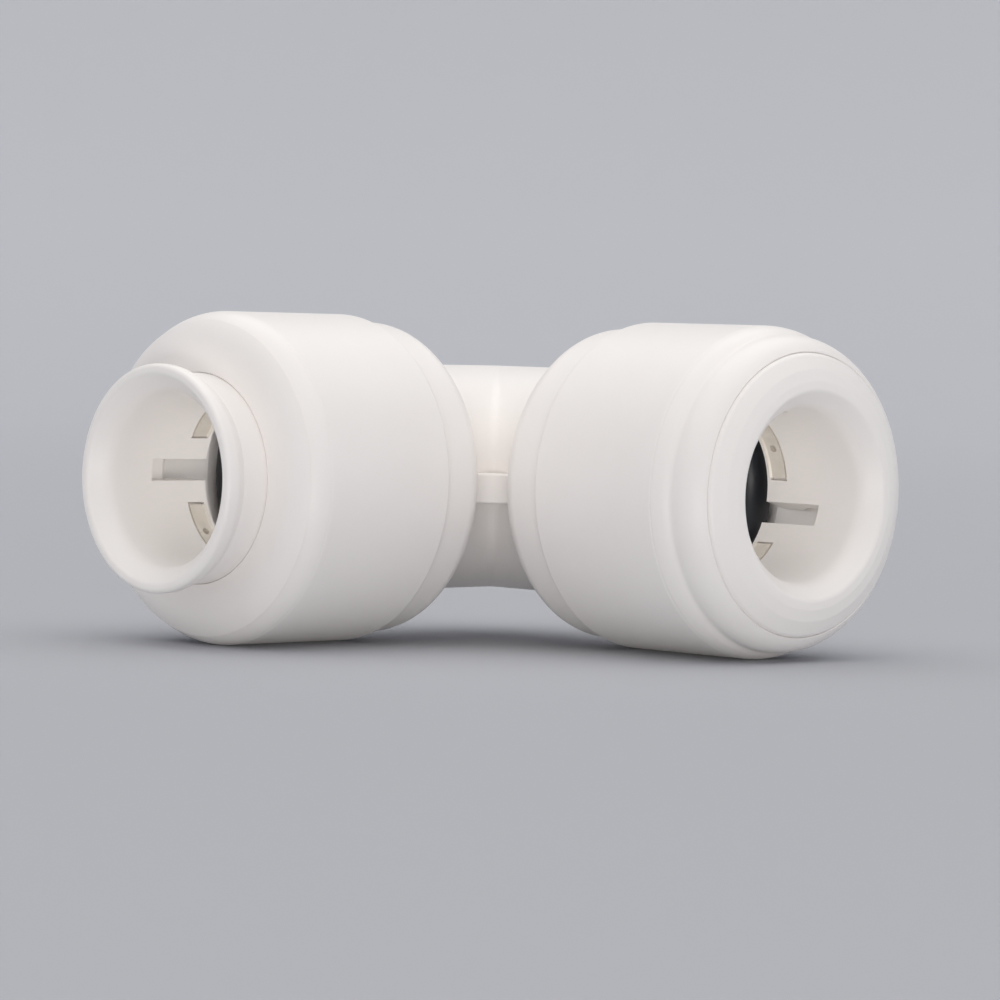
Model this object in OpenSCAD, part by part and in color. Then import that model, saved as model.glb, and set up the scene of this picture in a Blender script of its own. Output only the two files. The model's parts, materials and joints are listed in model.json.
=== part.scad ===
// Push to connect elbow for plastic tube, 90 degrees, two ports.
// Each port holds a seal ring, a welded end cap and a sliding release collet
// that carries four steel grip teeth. Everything is drawn in millimetres.

/* [Tube and waterway] */
// Outside diameter of the tube that plugs in
tube_d = 9.53; // [9.4:0.01:9.6]
// Radial clearance between tube and the bores it slides in
tube_gap = 0.11; // [0.09:0.01:0.13]
// Diameter of the waterway through the elbow
waterway_d = 6.8; // [5:0.1:7.4]
// Distance from the crossing of the axes to the tube stop
stop_l = 5.6; // [5.4:0.1:9]

/* [Body] */
// Outside diameter of each barrel
barrel_d = 18.8; // [18.6:0.1:19.4]
// Distance from the crossing to the rear edge of a barrel
barrel_start = 12.65; // [12.2:0.05:13]
// Distance from the crossing to the welded seam of the cap
seam_l = 21.6; // [21.4:0.05:21.9]
// Diameter of the neck that joins the two barrels
neck_d = 13.15; // [12.6:0.05:13.6]
// Diameter of the small ring behind each barrel
ring_d = 17.9; // [17:0.1:18.2]
// Distance from the crossing to the rear of that ring
ring_start = 11.45; // [11:0.05:11.8]
// Rounding radius behind that ring
ring_round = 2; // [1.2:0.1:2.2]
// Width of the small pad in the inner corner of the neck
pad_w = 2.8; // [1:0.1:4]
// Height of the pad
pad_h = 1.75; // [1:0.05:3]

/* [Seal] */
// Thickness of the seal ring section
seal_t = 2.62; // [2.4:0.02:2.7]
// Inside diameter of the seal ring, opened to the tube
seal_in_d = 9.34; // [9.26:0.02:9.4]
// Distance from the crossing to the middle of the seal ring
seal_l = 15; // [14.95:0.01:15.05]

/* [End caps] */
// Distance from the crossing to the step line on the caps
step_l = 22.71; // [22.5:0.01:22.9]
// Diameter of the nose right in front of the step line
nose_d = 17.8; // [17.4:0.05:17.9]
// Distance from the crossing to the rim of the long nose
rim_l = 24.66; // [24.4:0.01:24.8]
// Rounding radius of the long nose
long_round = 1.85; // [1.5:0.05:2]
// Distance from the crossing to the face of the short nose
face_l = 23.32; // [23.2:0.01:23.4]
// Rounding radius of the short nose
short_round = 2.6; // [2.2:0.1:3]

/* [Release collets] */
// Outside diameter of the collet stem that slides in the cap
stem_d = 11.8; // [11.6:0.02:11.9]
// Radial clearance between the stem and the cap
stem_gap = 0.08; // [0.04:0.01:0.1]
// Distance from the lip to the finger tips
collet_len = 8; // [7.9:0.05:8.1]
// Diameter over the hooks at the finger tips
hook_d = 13.1; // [12.8:0.05:13.2]
// Length of the four slots, measured from the finger tips
slot_len = 4; // [3.5:0.1:4.4]
// Width of the four slots
slot_w = 1.25; // [0.8:0.05:1.6]
// Diameter of the broad flange of the first collet
broad_d = 15.9; // [15.7:0.02:15.94]
// Diameter of the narrow lip of the second collet
lip_d = 12.75; // [12.6:0.05:13]
// Distance from the crossing to the lip of the first collet
lip_a_l = 25.45; // [25.35:0.01:25.55]
// Distance from the crossing to the lip of the second collet
lip_b_l = 26.5; // [26.4:0.01:26.6]
// Turn of the first collet about its own axis, degrees
turn_a = -16; // [-45:1:45]
// Turn of the second collet about its own axis, degrees
turn_b = -3; // [-45:1:45]

/* [Grip teeth] */
// Width of a tooth plate along the tube
tooth_w = 1.1; // [0.8:0.05:1.3]
// Half of the angle that a tooth plate spans, degrees
tooth_half = 21; // [14:1:24]
// Thickness of a tooth plate
tooth_t = 0.3; // [0.2:0.02:0.4]
// Diameter of the small hole in a tooth plate
tooth_hole = 0.45; // [0.3:0.05:0.6]

/* [Part shown] */
// Node to show, or all of them

/* [Hidden] */
$fn = 96;
tube_r = tube_d / 2;
bore_r = tube_r + tube_gap;
waterway_r = waterway_d / 2;
barrel_r = barrel_d / 2;
neck_r = neck_d / 2;
ring_r = ring_d / 2;
nose_r = nose_d / 2;
stem_r = stem_d / 2;
hook_r = hook_d / 2;
broad_r = broad_d / 2;
lip_r = lip_d / 2;
seal_mid = seal_in_d / 2 + seal_t / 2;
gland_r = seal_mid + seal_t / 2 + 0.02;
gland_floor = seal_l - seal_t / 2 - 0.09;
skirt_r = gland_r + 0.72;
skirt_start = seal_l + seal_t / 2 + 0.19;
cap_bore_r = stem_r + stem_gap;
cam_r = hook_r + 0.35;
stop_tip = lip_b_l - collet_len;
cam_l = stop_tip + 1.4;
tooth_in = tube_r + 0.04;
tooth_from = 0.35;
// The ports point along +X and -Y; this puts the middle of the outline over the origin
// and the barrels' lowest lines on the ground plane.
shift_x = -(lip_a_l - barrel_r) / 2;
shift_y = (lip_b_l - barrel_r) / 2;

// ---- Placing ----

module placed() {
    translate([shift_x, shift_y, barrel_r]) children();
}

// A port is drawn along +Z, with its distance from the crossing as height.
module on_port_a() {
    rotate([0, 90, 0]) children();
}

module on_port_b() {
    rotate([90, 0, 0]) children();
}

// ---- Small 2D helpers, x is the radius and y the distance along the port ----

// Box from radius r1 to r2 and from height l1 to l2.
module band(r1, r2, l1, l2) {
    translate([r1, l1]) square([r2 - r1, l2 - l1]);
}

// Takes an outer corner at radius r, height l off to a quarter round.
// up is 1 where the corner looks outwards along the port, -1 where it looks back.
module round_off(r, l, c, up) {
    difference() {
        translate([r - c, up > 0 ? l - c : l - 0.001]) square([c + 0.001, c + 0.001]);
        translate([r - c, l - up * c]) circle(r = c);
    }
}

// ---- Body ----

module arm_outside() {
    rotate_extrude() {
        band(0, neck_r, 0, ring_start);
        difference() {
            band(0, ring_r, ring_start - ring_round, barrel_start + 0.5);
            difference() {
                band(ring_r - ring_round, ring_r + 1, ring_start - ring_round - 1, ring_start);
                translate([ring_r - ring_round, ring_start]) circle(r = ring_round);
            }
        }
        difference() {
            band(0, barrel_r, barrel_start, seam_l);
            round_off(barrel_r, barrel_start, 0.3, -1);
            seam_round();
        }
    }
}

// The broad rounding that runs over the seam from the barrel to the step line.
module seam_round() {
    c = 2.4;
    difference() {
        band(barrel_r - c, barrel_r + 1, seam_l - 0.3, step_l + 1);
        translate([barrel_r - c, seam_l - 0.3]) circle(r = c);
    }
}

module arm_inside() {
    rotate_extrude() {
        band(0, waterway_r, 0, stop_l + 0.1);
        band(0, bore_r, stop_l, gland_floor + 0.1);
        band(0, gland_r, gland_floor, skirt_start + 0.1);
        band(0, skirt_r + 0.02, skirt_start - 0.05, seam_l + 1);
        polygon([
            [bore_r - 0.01, gland_floor - 0.35],
            [bore_r + 0.35, gland_floor + 0.01],
            [bore_r - 0.01, gland_floor + 0.01]
        ]);
    }
}

// Where the two legs of the waterway meet, as two straight core pins leave it.
module corner_inside() {
    intersection() {
        on_port_a() translate([0, 0, -waterway_r - 1]) cylinder(r = waterway_r, h = waterway_r + 2);
        on_port_b() translate([0, 0, -waterway_r - 1]) cylinder(r = waterway_r, h = waterway_r + 2);
    }
}

module corner_pad() {
    reach = neck_r * sqrt(2) + pad_w / 2;
    rotate([0, 0, -45])
        translate([0, -pad_w / 2, 0.5 - pad_h])
            cube([reach, pad_w, pad_h]);
}

module elbow_body() {
    color("white") placed() difference() {
        union() {
            on_port_a() arm_outside();
            on_port_b() arm_outside();
            sphere(r = neck_r);
            corner_pad();
        }
        on_port_a() arm_inside();
        on_port_b() arm_inside();
        corner_inside();
    }
}

// ---- End caps ----

// Everything of a cap behind the step line, solid.
module cap_rear() {
    band(0, skirt_r, skirt_start, seam_l + 0.02);
    difference() {
        band(0, barrel_r, seam_l + 0.02, step_l);
        seam_round();
    }
}

// What both caps have cut out: the skirt, the cam that squeezes the fingers, the stem bore.
module cap_inside() {
    band(0, cam_r, skirt_start - 1, cam_l);
    polygon([
        [0, cam_l - 0.01],
        [cam_r, cam_l - 0.01],
        [cam_r, cam_l],
        [cap_bore_r, cam_l + cam_r - cap_bore_r],
        [cap_bore_r, 30],
        [0, 30]
    ]);
}

module cap_a() {
    c = long_round;
    flat = 0.34;
    color("white") placed() on_port_a() rotate_extrude() difference() {
        union() {
            cap_rear();
            difference() {
                band(0, nose_r, step_l - 0.01, rim_l);
                difference() {
                    band(nose_r - c, nose_r + 1, step_l + flat, rim_l + 1);
                    translate([nose_r - c, step_l + flat]) circle(r = c);
                }
            }
        }
        cap_inside();
        band(0, broad_r + stem_gap, lip_a_l - 2.4, rim_l + 1);
    }
}

module cap_b() {
    c = short_round;
    color("white") placed() on_port_b() rotate_extrude() difference() {
        union() {
            cap_rear();
            intersection() {
                band(0, nose_r, step_l - 0.01, face_l);
                union() {
                    band(0, nose_r - c * sin(40) + 0.01, step_l - 1, face_l);
                    translate([nose_r - c * sin(40), face_l - c]) circle(r = c);
                }
            }
        }
        cap_inside();
    }
}

// ---- Seal rings ----

module seal_ring() {
    rotate_extrude() translate([seal_mid, seal_l]) circle(r = seal_t / 2);
}

module seal_ring_a() {
    color([0.07, 0.08, 0.1]) placed() on_port_a() seal_ring();
}

module seal_ring_b() {
    color([0.07, 0.08, 0.1]) placed() on_port_b() seal_ring();
}

// ---- Collets ----

// Stem, hooks and bore, shared by both collets. l is the distance to the lip.
module collet_stem(l) {
    tip = l - collet_len;
    band(bore_r, stem_r, tip, l - 1.2);
    polygon([
        [bore_r + 0.25, tip],
        [hook_r - 0.3, tip],
        [hook_r, tip + 0.3],
        [hook_r, tip + 1.5],
        [stem_r - 0.1, tip + 1.6 + hook_r - stem_r],
        [bore_r + 0.25, tip + 2.4]
    ]);
}

// Four slots that part the fingers, and the pockets the teeth sit in.
module collet_cuts(l) {
    tip = l - collet_len;
    for (i = [0:3]) rotate([0, 0, 90 * i]) {
        translate([0, -slot_w / 2, tip - 1]) cube([hook_r + 2, slot_w, slot_len + 1]);
        rotate([0, 0, 45 - tooth_half - 2])
            translate([0, 0, tip + tooth_from - 0.06])
                rotate_extrude(angle = 2 * tooth_half + 4)
                    translate([bore_r - 0.6, 0])
                        square([tooth_in + tooth_t + 0.06 - bore_r + 0.6, tooth_w + 0.12]);
    }
}

// The flared mouth: a cone from the lip down to the bore.
module collet_mouth(l) {
    rise = 0.95;
    translate([0, 0, l - rise]) cylinder(r1 = bore_r, r2 = bore_r + rise, h = rise + 0.001);
}

module collet_a_solid() {
    l = lip_a_l;
    crest = bore_r + 0.95;
    edge = 0.7;
    rotate_extrude() {
        collet_stem(l);
        band(bore_r, broad_r - 0.3, l - 1.5, l - edge - 0.3);
        difference() {
            band(bore_r, broad_r, l - 1.5, l - edge);
            round_off(broad_r, l - 1.5, 0.2, -1);
            round_off(broad_r, l - edge, 0.25, 1);
        }
        polygon([
            [bore_r, l - 1.2],
            [broad_r - 0.25, l - edge],
            [crest + 1.2, l - 0.22],
            [crest + 0.55, l - 0.05],
            [crest + 0.1, l],
            [bore_r, l]
        ]);
    }
}

module collet_a() {
    color("white") placed() on_port_a() rotate([0, 0, turn_a]) difference() {
        collet_a_solid();
        collet_mouth(lip_a_l);
        collet_cuts(lip_a_l);
    }
}

module collet_b_solid() {
    l = lip_b_l;
    c = 0.6;
    rotate_extrude() {
        collet_stem(l);
        difference() {
            band(bore_r, lip_r, l - 1.58, l);
            round_off(lip_r, l, c, 1);
            round_off(lip_r, l - 1.58, 0.25, -1);
        }
    }
}

module collet_b() {
    color("white") placed() on_port_b() rotate([0, 0, turn_b]) difference() {
        collet_b_solid();
        collet_mouth(lip_b_l);
        collet_cuts(lip_b_l);
    }
}

// ---- Grip teeth ----

// A curved plate with a small hole and a biting edge on its inner side.
module tooth(l, i) {
    base = l - collet_len + tooth_from;
    rotate([0, 0, 90 * i + 45]) difference() {
        translate([0, 0, base]) rotate([0, 0, -tooth_half]) rotate_extrude(angle = 2 * tooth_half)
            polygon([
                [tooth_in, 0.12],
                [seal_in_d / 2 + 0.02, 0.02],
                [seal_in_d / 2 + 0.02, 0],
                [tooth_in + tooth_t, 0],
                [tooth_in + tooth_t, tooth_w],
                [tooth_in, tooth_w]
            ]);
        translate([0, 0, base + tooth_w * 0.55]) rotate([0, 90, 0]) cylinder(d = tooth_hole, h = 12);
    }
}

module tooth_on_a(i) {
    color([0.85, 0.82, 0.75]) placed() on_port_a() rotate([0, 0, turn_a]) tooth(lip_a_l, i);
}

module tooth_on_b(i) {
    color([0.85, 0.82, 0.75]) placed() on_port_b() rotate([0, 0, turn_b]) tooth(lip_b_l, i);
}

elbow_body();
cap_a();
cap_b();
seal_ring_a();
seal_ring_b();
collet_a();
collet_b();
tooth_on_a(0);  // tooth_a_1
tooth_on_a(1);  // tooth_a_2
tooth_on_a(2);  // tooth_a_3
tooth_on_a(3);  // tooth_a_4
tooth_on_b(0);  // tooth_b_1
tooth_on_b(1);  // tooth_b_2
tooth_on_b(2);  // tooth_b_3
tooth_on_b(3);  // tooth_b_4
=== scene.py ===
"""Looks for a push to connect elbow: turned plastic pieces with soft edges on a pale studio floor.

Shapes are given in millimetres along each port: l is the distance from the crossing of the two
axes, r the distance from the port's own axis. Blender works in metres, so MM turns one into the other.
"""
import json
import math

import bmesh
import bpy
import numpy as np
from mathutils import Matrix, Vector


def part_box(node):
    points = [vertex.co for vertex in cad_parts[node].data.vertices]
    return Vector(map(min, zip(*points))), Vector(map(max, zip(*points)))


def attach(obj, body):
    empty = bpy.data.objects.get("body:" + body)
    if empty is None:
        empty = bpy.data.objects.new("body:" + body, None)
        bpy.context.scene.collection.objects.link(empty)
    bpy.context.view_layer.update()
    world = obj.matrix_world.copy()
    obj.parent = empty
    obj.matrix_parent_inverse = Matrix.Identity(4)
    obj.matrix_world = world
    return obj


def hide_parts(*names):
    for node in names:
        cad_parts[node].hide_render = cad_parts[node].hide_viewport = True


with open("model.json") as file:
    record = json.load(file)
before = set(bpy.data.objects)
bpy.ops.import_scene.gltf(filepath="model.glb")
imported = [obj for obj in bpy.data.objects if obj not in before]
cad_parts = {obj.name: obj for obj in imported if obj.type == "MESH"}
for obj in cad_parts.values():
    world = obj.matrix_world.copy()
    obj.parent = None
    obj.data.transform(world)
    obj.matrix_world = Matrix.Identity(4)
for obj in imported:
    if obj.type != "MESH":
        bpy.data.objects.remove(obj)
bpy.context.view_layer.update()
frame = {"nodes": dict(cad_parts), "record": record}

MM = 0.001
STEPS = 192  # points around a turned piece
MOUNTS = {m["name"]: m for m in frame["record"]["mounts"]}

# ---- The frame: where the two ports are ----

CROSSING = Vector((
    MOUNTS["tube_socket_b"]["pos_m"][0],
    MOUNTS["tube_socket_a"]["pos_m"][1],
    MOUNTS["tube_socket_a"]["pos_m"][2],
))
# Each port's own space has +Z out of the port.
PORT_A = Matrix.Translation(CROSSING) @ Matrix.Rotation(math.radians(90), 4, "Y")
PORT_B = Matrix.Translation(CROSSING) @ Matrix.Rotation(math.radians(90), 4, "X")


def span_a(node):
    """How far along port A a node starts and ends, and its greatest radius, in mm."""
    low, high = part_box(node)
    return (low.x - CROSSING.x) / MM, (high.x - CROSSING.x) / MM, (high.z - CROSSING.z) / MM


def span_b(node):
    """The same along port B."""
    low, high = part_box(node)
    return (CROSSING.y - high.y) / MM, (CROSSING.y - low.y) / MM, (high.z - CROSSING.z) / MM


# Read from the frame.
BORE_R = MOUNTS["tube_socket_a"]["dims"]["r_mm"]
SKIRT_START, _, BARREL_R = span_a("cap_a")
FACE_L = span_b("cap_b")[1]
TIP_A, LIP_A, BROAD_R = span_a("collet_a")
TIP_B, LIP_B, HOOK_R = span_b("collet_b")
GLAND_R = span_a("seal_ring_a")[2]

# The elbow body.
NECK_R = 6.575
CORNER_FILLET = 0.7
RING_R = 8.95
RING_START = 11.45
RING_ROUND = 2.0
BARREL_START = 12.65
STOP_L = 5.6
WATERWAY_R = 3.4
PAD_W = 2.8
PAD_H = 1.75
PAD_TOP = 0.5  # above the port axes
PAD_ROOT = 8.6  # distance from the crossing, inside the wall of the neck
PAD_EDGE = 0.16
GLAND_FLOOR = 13.6

# The end caps. The nose starts at the step line, after the rounding that runs over the seam.
SEAM_L = 21.6
LONG_SEAM_ROUND = 2.4
SHORT_SEAM_ROUND = 2.0
SEAM_BREAK = 0.01
STEP_L = 22.71
NOSE_R = 8.9
LONG_ROUND = 1.85
LONG_FLAT = 0.34
SHORT_ROUND = 2.6
SHORT_LEAN = math.radians(40)
SKIRT_R = GLAND_R + 0.74
CAM_R = 6.9
CAM_L = 19.9
STEM_BORE_R = 5.915  # closer to the stem than in the CAD, so that the gap stays a fine line
RECESS_R = BROAD_R + 0.01  # close to the flange for the same reason
RECESS_DEPTH = 2.4  # below the crest of the broad flange
RIM_W = 0.06

# The collets.
STEM_R = 5.9
LIP_R = 6.375
MOUTH_RISE = 0.95
SLOT_W = 1.25
SLOT_LEN = 4.0
TURN_A = math.radians(-16)
TURN_B = math.radians(-3)
TOOTH_HALF = math.radians(21)


# ---- Outlines ----

def rounded(corners):
    """A closed outline from corners (r, l, rounding), each corner replaced by an arc of that radius."""
    made = []
    count = len(corners)
    for i, (r, l, rounding) in enumerate(corners):
        here = Vector((r, l))
        before = Vector(corners[i - 1][:2]) - here
        after = Vector(corners[(i + 1) % count][:2]) - here
        turn = before.angle(after)
        if rounding <= 0 or turn > math.radians(178):
            made.append(tuple(here))
            continue
        reach = min(rounding / math.tan(turn / 2), before.length * 0.49, after.length * 0.49)
        start = here + before.normalized() * reach
        end = here + after.normalized() * reach
        radius = reach * math.tan(turn / 2)
        centre = here + (before.normalized() + after.normalized()).normalized() * (
            radius / math.sin(turn / 2)
        )
        first, last = start - centre, end - centre
        opening = first.angle(last)
        steps = max(5, int(math.degrees(opening) / 9))
        for k in range(steps + 1):
            share = k / steps
            arm = (
                first * (math.sin((1 - share) * opening) / math.sin(opening))
                + last * (math.sin(share * opening) / math.sin(opening))
            )
            made.append(tuple(centre + arm))
    return made


def seam_radius(l, rounding=LONG_SEAM_ROUND):
    """Radius of the broad rounding that runs over the seam."""
    return BARREL_R - rounding + math.sqrt(rounding ** 2 - (l - SEAM_L + 0.3) ** 2)


# ---- Meshes ----

def new_piece(name, verts, faces, material):
    mesh = bpy.data.meshes.new(name)
    mesh.from_pydata([tuple(v) for v in verts], [], faces)
    mesh.materials.append(material)
    piece = bpy.data.objects.new(name, mesh)
    bpy.context.scene.collection.objects.link(piece)
    return piece


def tidy_mesh(piece, sharp=math.radians(38)):
    """Welds the mesh, turns its faces outwards and keeps only true corners sharp."""
    bm = bmesh.new()
    bm.from_mesh(piece.data)
    bmesh.ops.remove_doubles(bm, verts=bm.verts, dist=1e-7)
    bmesh.ops.recalc_face_normals(bm, faces=bm.faces)
    for face in bm.faces:
        face.smooth = True
    for edge in bm.edges:
        edge.smooth = len(edge.link_faces) == 2 and edge.calc_face_angle(0) < sharp
    bm.to_mesh(piece.data)
    bm.free()
    normals = piece.modifiers.new("normals", "WEIGHTED_NORMAL")
    normals.keep_sharp = True
    normals.weight = 80


def turned(name, outline, place, material):
    """A closed outline of (r, l) turned about a port's axis."""
    verts = []
    for k in range(STEPS):
        angle = 2 * math.pi * k / STEPS
        for r, l in outline:
            verts.append(place @ Vector((r * math.cos(angle), r * math.sin(angle), l)))
    count = len(outline)
    faces = []
    for k in range(STEPS):
        here, there = k * count, ((k + 1) % STEPS) * count
        for i in range(count):
            j = (i + 1) % count
            faces.append((here + i, here + j, there + j, there + i))
    return new_piece(name, verts, faces, material)


def in_mm(port):
    """A port's space with millimetres as its unit."""
    return port @ Matrix.Scale(MM, 4)


def cut_with(piece, cutters, operation="DIFFERENCE"):
    """Takes the cutters out of the piece, or joins them to it, and removes them."""
    for cutter in cutters:
        step = piece.modifiers.new("cut", "BOOLEAN")
        step.operation = operation
        step.solver = "EXACT"
        step.object = cutter
    bpy.context.view_layer.update()
    shown = piece.evaluated_get(bpy.context.evaluated_depsgraph_get())
    mesh = bpy.data.meshes.new_from_object(shown)
    piece.modifiers.clear()
    piece.data = mesh
    for cutter in cutters:
        bpy.data.objects.remove(cutter)


def block(name, size, place):
    """A box for cutting with: size in mm from its near corner."""
    x, y, z = size
    verts = [place @ Vector((a, b, c)) for a in (0, x) for b in (0, y) for c in (0, z)]
    faces = [(0, 1, 3, 2), (4, 6, 7, 5), (0, 4, 5, 1), (2, 3, 7, 6), (0, 2, 6, 4), (1, 5, 7, 3)]
    mesh = bpy.data.meshes.new(name)
    mesh.from_pydata([tuple(v) for v in verts], [], faces)
    cutter = bpy.data.objects.new(name, mesh)
    bpy.context.scene.collection.objects.link(cutter)
    return cutter


# ---- Materials ----

def shader(name):
    material = bpy.data.materials.new(name)
    material.use_nodes = True
    tree = material.node_tree
    return material, tree, tree.nodes["Principled BSDF"]


def noise(tree, scale, detail, roughness=0.5):
    place = tree.nodes.new("ShaderNodeTexCoord")
    made = tree.nodes.new("ShaderNodeTexNoise")
    made.inputs["Scale"].default_value = scale
    made.inputs["Detail"].default_value = detail
    made.inputs["Roughness"].default_value = roughness
    tree.links.new(place.outputs["Object"], made.inputs["Vector"])
    return made.outputs["Fac"]


def ramp(tree, factor, stops):
    made = tree.nodes.new("ShaderNodeValToRGB")
    made.color_ramp.elements[0].position = stops[0][0]
    made.color_ramp.elements[0].color = (*stops[0][1], 1)
    made.color_ramp.elements[1].position = stops[-1][0]
    made.color_ramp.elements[1].color = (*stops[-1][1], 1)
    for position, colour in stops[1:-1]:
        made.color_ramp.elements.new(position).color = (*colour, 1)
    tree.links.new(factor, made.inputs["Fac"])
    return made.outputs["Color"]


def spread(tree, factor, low, high):
    made = tree.nodes.new("ShaderNodeMapRange")
    made.inputs["To Min"].default_value = low
    made.inputs["To Max"].default_value = high
    tree.links.new(factor, made.inputs["Value"])
    return made.outputs["Result"]


def bump(tree, bsdf, height, depth_m, strength):
    made = tree.nodes.new("ShaderNodeBump")
    made.inputs["Strength"].default_value = strength
    made.inputs["Distance"].default_value = depth_m
    tree.links.new(height, made.inputs["Height"])
    tree.links.new(made.outputs["Normal"], bsdf.inputs["Normal"])


def plastic(name, light, dark):
    """Satin moulded plastic: faint clouding, a fine grain and painted shade that slightly darkens the
    crevices.
    """
    material, tree, bsdf = shader(name)
    clouds = ramp(tree, noise(tree, 140, 3), [(0.3, dark), (0.7, light)])
    # Painted shade: a ramp on pointiness darkens the concave crevices a little, where shade would fall.
    crevice_shade_geometry = tree.nodes.new("ShaderNodeNewGeometry")
    edges = ramp(tree, crevice_shade_geometry.outputs["Pointiness"], [(0.42, (0.975, 0.970, 0.965)), (0.5, (1, 1, 1))])
    mixed = tree.nodes.new("ShaderNodeMix")
    mixed.data_type = "RGBA"
    mixed.blend_type = "MULTIPLY"
    mixed.inputs["Factor"].default_value = 1.0
    tree.links.new(clouds, mixed.inputs["A"])
    tree.links.new(edges, mixed.inputs["B"])
    tree.links.new(mixed.outputs["Result"], bsdf.inputs["Base Color"])
    tree.links.new(spread(tree, noise(tree, 900, 4), 0.34, 0.46), bsdf.inputs["Roughness"])
    bump(tree, bsdf, noise(tree, 3200, 3, 0.6), 0.00001, 0.35)
    bsdf.inputs["IOR"].default_value = 1.48
    return material


def rubber(name):
    """Black rubber with a faint blue cast."""
    material, tree, bsdf = shader(name)
    colour = ramp(tree, noise(tree, 500, 3), [(0.3, (0.010, 0.012, 0.016)), (0.7, (0.020, 0.023, 0.030))])
    tree.links.new(colour, bsdf.inputs["Base Color"])
    tree.links.new(spread(tree, noise(tree, 1500, 3), 0.28, 0.42), bsdf.inputs["Roughness"])
    bump(tree, bsdf, noise(tree, 4000, 2), 0.00001, 0.2)
    return material


def steel(name):
    """Dull pale steel, its base colour warmed as a painted reflection of the warm look that it takes on
    among white walls.
    """
    material, tree, bsdf = shader(name)
    # Painted reflection: the warm cream tint stands in for the white walls and plastic round the teeth.
    colour = ramp(tree, noise(tree, 1200, 3), [(0.3, (0.90, 0.84, 0.75)), (0.7, (0.96, 0.91, 0.83))])
    tree.links.new(colour, bsdf.inputs["Base Color"])
    tree.links.new(spread(tree, noise(tree, 2600, 3), 0.42, 0.56), bsdf.inputs["Roughness"])
    bump(tree, bsdf, noise(tree, 5000, 2), 0.000006, 0.2)
    bsdf.inputs["Metallic"].default_value = 0.45
    return material


def paper(name):
    """The pale studio sweep, a little lighter away from the middle: painted light that makes the wall read
    brighter than the floor round the fitting.
    """
    material, tree, bsdf = shader(name)
    place = tree.nodes.new("ShaderNodeTexCoord")
    length = tree.nodes.new("ShaderNodeVectorMath")
    length.operation = "LENGTH"
    tree.links.new(place.outputs["Object"], length.inputs[0])
    # Painted light: the colour ramps darker near the middle and lighter outwards, so the far floor and wall
    # look more brightly lit.
    colour = ramp(tree, length.outputs["Value"], [
        (0.0, (0.485, 0.497, 0.530)),
        (0.25, (0.510, 0.522, 0.556)),
        (0.75, (0.590, 0.604, 0.642)),
    ])
    tree.links.new(colour, bsdf.inputs["Base Color"])
    tree.links.new(spread(tree, noise(tree, 6, 2), 0.88, 0.92), bsdf.inputs["Roughness"])
    bsdf.inputs["Specular IOR Level"].default_value = 0.1
    return material


BODY = plastic("body_plastic", (0.962, 0.930, 0.904), (0.946, 0.912, 0.884))
COLLET = plastic("collet_plastic", (0.972, 0.940, 0.912), (0.960, 0.926, 0.896))
SEAL = rubber("seal_rubber")
GRIP = steel("grip_steel")


# ---- The elbow body ----

def outer_rows():
    """The neck from the mitre plane to the first ring: rows of points that lie on it exactly."""
    rows = 34
    reach = RING_START - RING_ROUND - 0.25  # stops just short of the first ring
    made = []
    for k in range(rows + 1):
        row = []
        for i in range(STEPS):
            angle = 2 * math.pi * i / STEPS
            y, z = NECK_R * math.sin(angle), NECK_R * math.cos(angle)
            share = (k / rows) ** 1.25
            if y > 0:
                bend = y * math.pi / 4
                along = share * (bend + reach)
                if along < bend:
                    turn = math.pi / 4 - along / y
                    row.append(Vector((-y * math.sin(turn), y * math.cos(turn), z)))
                else:
                    row.append(Vector((along - bend, y, z)))
            else:
                row.append(filleted(Vector((-y + share * (reach + y), y, z))))
        made.append(row)
    return made


def filleted(point):
    """Moves a point of the neck out onto a small fillet in the inner corner of the elbow."""
    soft = CORNER_FILLET * (1 - (point.z / NECK_R) ** 2)
    if soft < 1e-4:
        return point
    for _ in range(12):
        first = math.hypot(point.y, point.z) - NECK_R
        second = math.hypot(point.x, point.z) - NECK_R
        share = min(max(0.5 + 0.5 * (second - first) / soft, 0), 1)
        height = second * (1 - share) + first * share - soft * share * (1 - share)
        out_first = Vector((0, point.y, point.z)).normalized()
        out_second = Vector((point.x, 0, point.z)).normalized()
        out = out_second * (1 - share) + out_first * share
        point = point - out * (height / max(out.length_squared, 0.2))
    return point


def arm_outline():
    """The rest of one arm's outline: over the ring and barrel to the seam, and back through the bores."""
    seam = [(seam_radius(l), l, 0) for l in np.linspace(SEAM_L - 0.3, SEAM_L - 0.02, 4)]
    corners = [
        (NECK_R, RING_START - RING_ROUND - 0.2, 0),
        (NECK_R, RING_START - RING_ROUND, 0.2),
        (RING_R, RING_START - RING_ROUND, RING_ROUND),
        (RING_R, BARREL_START, 0.12),
        (BARREL_R, BARREL_START, 0.3),
        *seam,
        (seam_radius(SEAM_L) - SEAM_BREAK, SEAM_L, 0),
        (SKIRT_R, SEAM_L, 0.05),
        (SKIRT_R, SKIRT_START - 0.05, 0),
        (GLAND_R + 0.02, SKIRT_START - 0.05, 0.05),
        (GLAND_R + 0.02, GLAND_FLOOR, 0.2),
        (BORE_R + 0.35, GLAND_FLOOR, 0.05),
        (BORE_R, GLAND_FLOOR - 0.35, 0),
        (BORE_R, STOP_L, 0.1),
        (WATERWAY_R, STOP_L, 0.15),
        (WATERWAY_R, STOP_L - 0.4, 0),
    ]
    points = rounded([(NECK_R, 0, 0), *corners, (0, STOP_L - 1, 0)])
    return points[1:-1]


def inner_rows():
    """The waterway from the stop back to the mitre plane."""
    rows = 10
    made = []
    for k in range(1, rows + 1):
        row = []
        for i in range(STEPS):
            angle = 2 * math.pi * i / STEPS
            y, z = WATERWAY_R * math.sin(angle), WATERWAY_R * math.cos(angle)
            share = k / rows
            row.append(Vector(((STOP_L - 0.4) * (1 - share) - y * share, y, z)))
        made.append(row)
    return made


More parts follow.
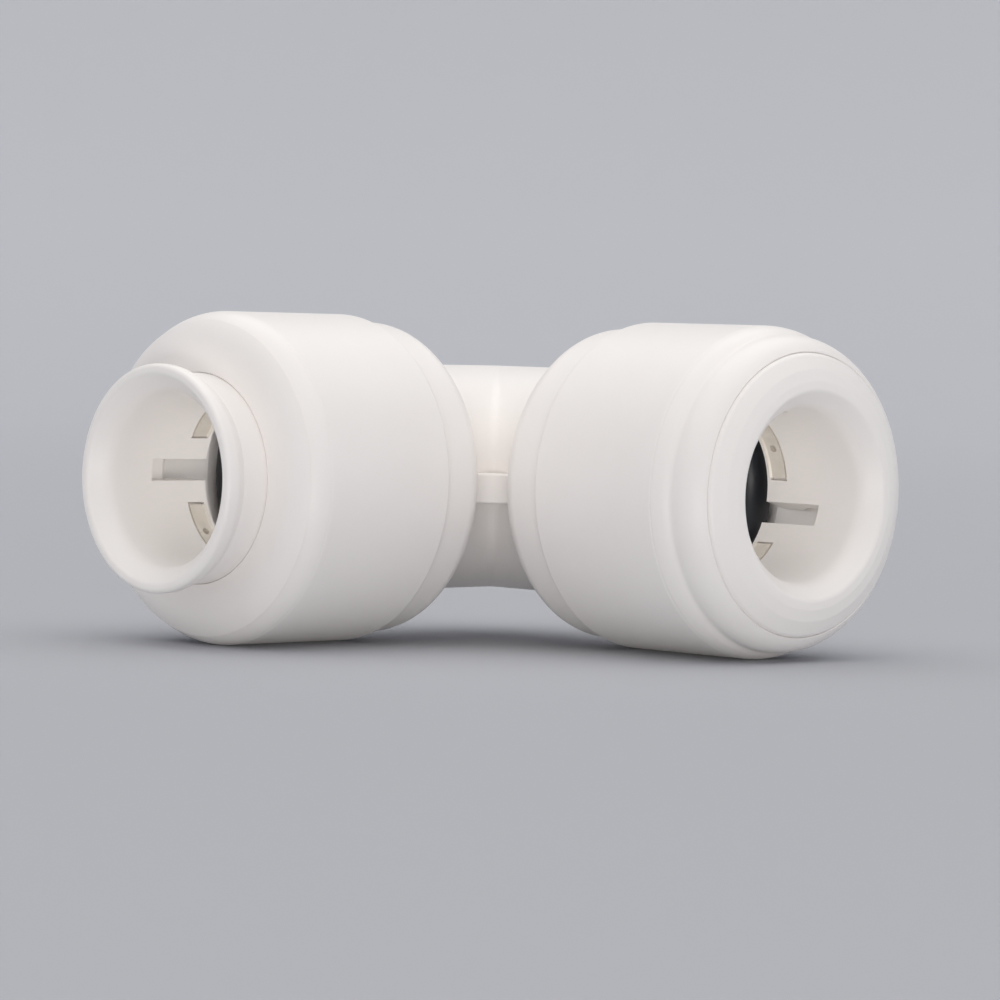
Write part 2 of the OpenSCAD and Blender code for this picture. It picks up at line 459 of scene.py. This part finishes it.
def elbow_body():
    rows = outer_rows()
    for r, l in arm_outline():
        rows.append([
            Vector((l, r * math.sin(2 * math.pi * i / STEPS), r * math.cos(2 * math.pi * i / STEPS)))
            for i in range(STEPS)
        ])
    rows += inner_rows()
    arm_a = [CROSSING + v * MM for row in rows for v in row]
    arm_b = [CROSSING + Vector((-v.y, -v.x, v.z)) * MM for row in rows for v in row]
    faces = []
    for k in range(len(rows) - 1):
        for i in range(STEPS):
            j = (i + 1) % STEPS
            faces.append((k * STEPS + i, k * STEPS + j, (k + 1) * STEPS + j, (k + 1) * STEPS + i))
    shift = len(arm_a)
    faces += [tuple(reversed([v + shift for v in face])) for face in faces]
    piece = new_piece("body_moulding", arm_a + arm_b, faces, BODY)
    bm = bmesh.new()
    bm.from_mesh(piece.data)
    bmesh.ops.remove_doubles(bm, verts=bm.verts, dist=2e-6)
    bmesh.ops.dissolve_degenerate(bm, edges=bm.edges, dist=1e-7)
    bm.to_mesh(piece.data)
    bm.free()
    cut_with(piece, [corner_pad()], "UNION")
    return piece


def corner_pad():
    """The small flat-fronted block in the inner corner of the elbow."""
    front = NECK_R * math.sqrt(2) + PAD_W / 2
    outwards = in_mm(Matrix.Translation(CROSSING)) @ Matrix.Rotation(math.radians(-45), 4, "Z")
    corner = outwards @ Matrix.Translation((PAD_ROOT, -PAD_W / 2, PAD_TOP - PAD_H))
    piece = block("pad", (front - PAD_ROOT, PAD_W, PAD_H), corner)
    bm = bmesh.new()
    bm.from_mesh(piece.data)
    bmesh.ops.bevel(
        bm, geom=bm.edges[:], offset=PAD_EDGE * MM,
        segments=4, profile=0.5, affect="EDGES", clamp_overlap=True,
    )
    bm.to_mesh(piece.data)
    bm.free()
    piece.data.materials.append(BODY)
    return piece


# ---- End caps ----

def cap_back():
    """The part of a cap's outline that both caps share: from the step line back and in to the cam."""
    return [
        (SKIRT_R - 0.02, SEAM_L, 0),
        (SKIRT_R - 0.02, SKIRT_START, 0.1),
        (CAM_R, SKIRT_START, 0.1),
        (CAM_R, CAM_L, 0.1),
        (STEM_BORE_R, CAM_L + CAM_R - STEM_BORE_R, 0.1),
    ]


def over_the_seam(rounding, last):
    """The broad rounding from the seam to just short of the step line."""
    first = SEAM_L + 0.02
    rise = [(seam_radius(l, rounding), l, 0) for l in np.linspace(first, last, 9)]
    return [(seam_radius(SEAM_L) - SEAM_BREAK, SEAM_L, 0), *rise]


def cap_a():
    """The long nose: a bulge that closes round the broad flange of the collet."""
    centre_r, centre_l = NOSE_R - LONG_ROUND, STEP_L + LONG_FLAT
    rim_l = centre_l + math.sqrt(LONG_ROUND ** 2 - (RECESS_R + RIM_W - centre_r) ** 2)
    end = math.asin((rim_l - centre_l) / LONG_ROUND)
    nose = [
        (centre_r + LONG_ROUND * math.cos(a), centre_l + LONG_ROUND * math.sin(a), 0)
        for a in np.linspace(0, end, 14)
    ]
    corners = [
        *over_the_seam(LONG_SEAM_ROUND, STEP_L - 0.3),
        (NOSE_R - 0.03, STEP_L, 0.5),
        *nose,
        (RECESS_R, rim_l - 0.03, 0),
        (RECESS_R, LIP_A - RECESS_DEPTH, 0.1),
        (STEM_BORE_R, LIP_A - RECESS_DEPTH, 0.1),
        *reversed(cap_back()),
    ]
    return turned("cap_a_moulding", rounded(corners), in_mm(PORT_A), BODY)


def cap_b():
    """The short nose with a flat face round the narrow collet."""
    centre_r, centre_l = NOSE_R - SHORT_ROUND * math.sin(SHORT_LEAN), FACE_L - SHORT_ROUND
    start = math.asin((STEP_L + 0.03 - centre_l) / SHORT_ROUND)
    nose = [
        (centre_r + SHORT_ROUND * math.cos(a), centre_l + SHORT_ROUND * math.sin(a), 0)
        for a in np.linspace(start, math.pi / 2, 14)
    ]
    corners = [
        *over_the_seam(SHORT_SEAM_ROUND, STEP_L - 0.04),
        (seam_radius(STEP_L, SHORT_SEAM_ROUND), STEP_L, 0),
        *nose,
        (STEM_BORE_R, FACE_L, 0.06),
        *reversed(cap_back()),
    ]
    return turned("cap_b_moulding", rounded(corners), in_mm(PORT_B), BODY)


# ---- Collets ----

def collet_fingers(tip):
    """The outline behind the flange, from the bore round the hooked finger tips to the stem."""
    return [
        (BORE_R + 0.25, tip + 0.02, 0.06),
        (HOOK_R - 0.3, tip, 0.08),
        (HOOK_R, tip + 0.3, 0.08),
        (HOOK_R, tip + 1.5, 0.1),
        (STEM_R, tip + 1.6 + HOOK_R - STEM_R, 0.1),
    ]


def collet_bore(lip):
    """The outline of the mouth: the funnel and the bore, from the crest inwards."""
    return [
        (BORE_R + MOUTH_RISE, lip, 0.3),
        (BORE_R, lip - MOUTH_RISE, 1.3),
        (BORE_R, lip - MOUTH_RISE - 2, 0),
        (BORE_R, TIP_A - LIP_A + lip + 0.02, 0),
    ]


def cut_slots(piece, tip, port, turn):
    """Parts the fingers with four slots and sinks a pocket for each tooth."""
    cutters = []
    for k in range(4):
        spin = in_mm(port) @ Matrix.Rotation(turn + k * math.pi / 2, 4, "Z")
        slot = spin @ Matrix.Translation((0, -SLOT_W / 2, tip - 1))
        cutters.append(block("slot", (HOOK_R + 2, SLOT_W, SLOT_LEN + 1), slot))
    cut_with(piece, cutters)
    pockets = [tooth_pocket(tip, port, turn + math.pi / 4 + k * math.pi / 2) for k in range(4)]
    cut_with(piece, pockets)


def tooth_pocket(tip, port, turn):
    """A curved block a little larger than a tooth plate."""
    low_r, high_r = BORE_R - 0.6, BORE_R + 0.29
    low_l, high_l = tip + 0.29, tip + 1.51
    half = TOOTH_HALF + math.radians(2)
    steps = 16
    place = in_mm(port)
    verts, faces = [], []
    for k in range(steps + 1):
        angle = turn - half + 2 * half * k / steps
        for r, l in ((low_r, low_l), (high_r, low_l), (high_r, high_l), (low_r, high_l)):
            verts.append(place @ Vector((r * math.cos(angle), r * math.sin(angle), l)))
    for k in range(steps):
        for i in range(4):
            j = (i + 1) % 4
            faces.append((4 * k + i, 4 * k + j, 4 * k + 4 + j, 4 * k + 4 + i))
    faces += [(3, 2, 1, 0), tuple(4 * steps + i for i in range(4))]
    piece = new_piece("pocket", verts, faces, COLLET)
    tidy_mesh(piece)
    return piece


def collet_a():
    """The collet with the broad, softly domed flange that fills the long nose."""
    edge = 0.7
    crest = BORE_R + MOUTH_RISE
    corners = [
        *reversed(collet_fingers(TIP_A)),
        *reversed(collet_bore(LIP_A)),
        (crest + 0.55, LIP_A - 0.05, 0.3),
        (crest + 1.2, LIP_A - 0.22, 0.5),
        (BROAD_R, LIP_A - edge, 0.4),
        (BROAD_R, LIP_A - 1.5, 0.2),
        (STEM_R, LIP_A - 1.5, 0.1),
    ]
    piece = turned("collet_a_moulding", rounded(corners), in_mm(PORT_A), COLLET)
    cut_slots(piece, TIP_A, PORT_A, TURN_A)
    return piece


def collet_b():
    """The collet with the narrow lip."""
    corners = [
        *reversed(collet_fingers(TIP_B)),
        *reversed(collet_bore(LIP_B)),
        (LIP_R, LIP_B, 0.62),
        (LIP_R - 0.01, LIP_B - 0.78, 0.9),
        (STEM_R, LIP_B - 1.52, 0.3),
    ]
    piece = turned("collet_b_moulding", rounded(corners), in_mm(PORT_B), COLLET)
    cut_slots(piece, TIP_B, PORT_B, TURN_B)
    return piece


# ---- Everything on its body ----

def add(piece, body, node):
    tidy_mesh(piece)
    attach(piece, body)
    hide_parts(node)


add(elbow_body(), "fitting", "elbow_body")
add(cap_a(), "fitting", "cap_a")
add(cap_b(), "fitting", "cap_b")
add(collet_a(), "release_collet_a", "collet_a")
add(collet_b(), "release_collet_b", "collet_b")

for node, piece in frame["nodes"].items():
    if node.startswith("seal_ring") or node.startswith("tooth"):
        finish = SEAL if node.startswith("seal_ring") else GRIP
        piece.data.materials.clear()
        piece.data.materials.append(finish)


# ---- Stage, light and camera ----

def sweep():
    """A pale floor that curves up into a wall all round."""
    flat, wall, rise = 0.5, 1.3, 1.0
    bend = wall - flat
    outline = [(0.0, 0.0), (0.1, 0.0), (0.3, 0.0), (flat, 0.0)]
    outline += [
        (flat + bend * math.sin(a), bend * (1 - math.cos(a)))
        for a in np.linspace(0, math.pi / 2, 24)[1:]
    ]
    outline.append((wall, rise))
    steps = 96
    verts = [
        Vector((r * math.cos(2 * math.pi * k / steps), r * math.sin(2 * math.pi * k / steps), z))
        for k in range(steps)
        for r, z in outline
    ]
    count = len(outline)
    faces = [
        (k * count + i, ((k + 1) % steps) * count + i, ((k + 1) % steps) * count + i + 1, k * count + i + 1)
        for k in range(steps)
        for i in range(count - 1)
    ]
    floor = new_piece("studio_sweep", verts, faces, paper("studio_paper"))
    tidy_mesh(floor)
    return floor


def softbox(name, around, high, distance, size, power, shines_on, shade=(1, 1, 1)):
    """A lamp aimed at the fitting: degrees around from the camera's side, degrees up, and metres away.

    It lights, and is blocked by, only what shines_on holds.
    """
    around, high = math.radians(around), math.radians(high)
    flat = FRONT * math.cos(around) + Vector((0, 0, 1)).cross(FRONT) * math.sin(around)
    target = Vector((0, 0, 0.01))
    place = target + (flat * math.cos(high) + Vector((0, 0, math.sin(high)))) * distance
    data = bpy.data.lights.new(name, "AREA")
    data.shape = "RECTANGLE"
    data.size, data.size_y = size
    data.energy = power
    data.color = shade
    lamp = bpy.data.objects.new(name, data)
    lamp.location = place
    lamp.rotation_mode = "QUATERNION"
    lamp.rotation_quaternion = (target - place).to_track_quat("-Z", "Y")
    lamp.light_linking.receiver_collection = shines_on
    lamp.light_linking.blocker_collection = shines_on
    bpy.context.scene.collection.objects.link(lamp)


def seep(name, port, power, shines_on=None):
    """A weak lamp inside a port, for the light that the thin walls of the real plastic let through."""
    l = 17.5
    data = bpy.data.lights.new(name, "POINT")
    data.energy = power
    data.shadow_soft_size = 2.5 * MM
    lamp = bpy.data.objects.new(name, data)
    lamp.location = port @ Vector((0, 0, l * MM))
    lamp.visible_camera = False
    lamp.visible_glossy = False
    lamp.light_linking.receiver_collection = shines_on
    bpy.context.scene.collection.objects.link(lamp)


def daylight(level_strength, top_strength):
    """Even light from all round that grows stronger towards the top."""
    world = bpy.data.worlds.new("studio")
    world.use_nodes = True
    tree = world.node_tree
    sky = tree.nodes["Background"]
    sky.inputs["Color"].default_value = (1.0, 0.985, 0.97, 1)
    place = tree.nodes.new("ShaderNodeTexCoord")
    parts = tree.nodes.new("ShaderNodeSeparateXYZ")
    tree.links.new(place.outputs["Generated"], parts.inputs["Vector"])
    strength = spread(tree, parts.outputs["Z"], level_strength, top_strength)
    tree.links.new(strength, sky.inputs["Strength"])
    bpy.context.scene.world = world


def camera():
    """The camera from the photo's side. Returns the level direction from the fitting towards it."""
    azimuth, elevation, roll = (math.radians(x) for x in (45.348, 2.337, 1.538))
    distance = 0.259
    aim_right, aim_up = 0.3315 * MM, -1.44 * MM
    back = Vector((
        math.sin(azimuth) * math.cos(elevation),
        -math.cos(azimuth) * math.cos(elevation),
        math.sin(elevation),
    ))
    across = Vector((math.cos(azimuth), math.sin(azimuth), 0))
    upright = back.cross(across)
    right = across * math.cos(roll) + upright * math.sin(roll)
    up = upright * math.cos(roll) - across * math.sin(roll)
    aim = CROSSING + right * aim_right + up * aim_up
    data = bpy.data.cameras.new("camera")
    data.sensor_width = 36
    data.lens = 156.4
    data.clip_start = 0.01
    data.clip_end = 10
    eye = bpy.data.objects.new("camera", data)
    eye.matrix_world = Matrix.Translation(aim + back * distance) @ (
        Matrix((right, up, back)).transposed().to_4x4()
    )
    bpy.context.scene.collection.objects.link(eye)
    bpy.context.scene.camera = eye
    return Vector((back.x, back.y, 0)).normalized()


floor = sweep()
FRONT = camera()

# What a lamp lights: everything but the floor, or only the casings seen through the collets' slots.
pieces_only = bpy.data.collections.new("all_but_the_floor")
pieces_only.objects.link(floor)
pieces_only.collection_objects[0].light_linking.link_state = "EXCLUDE"
casings = bpy.data.collections.new("body_and_caps")
for name in ("body_moulding", "cap_a_moulding", "cap_b_moulding"):
    casings.objects.link(bpy.data.objects[name])

# The fill stands in for light off a wide bright table, so it comes from a little below.
softbox("fill_box", 0, -10, 0.75, (0.5, 0.16), 1.4, pieces_only, (1.0, 0.965, 0.93))
softbox("right_box", 90, 8, 0.5, (0.3, 0.2), 0.12, pieces_only)
softbox("top_box", 180, 60, 0.55, (0.4, 0.3), 0.25, pieces_only)
seep("seep_a", PORT_A, 0.00018)
seep("seep_b", PORT_B, 0.00025)
seep("slots_a", PORT_A, 0.0010, casings)
seep("slots_b", PORT_B, 0.0010, casings)
daylight(0.25, 1.40)
bpy.context.scene.view_settings.view_transform = "Standard"
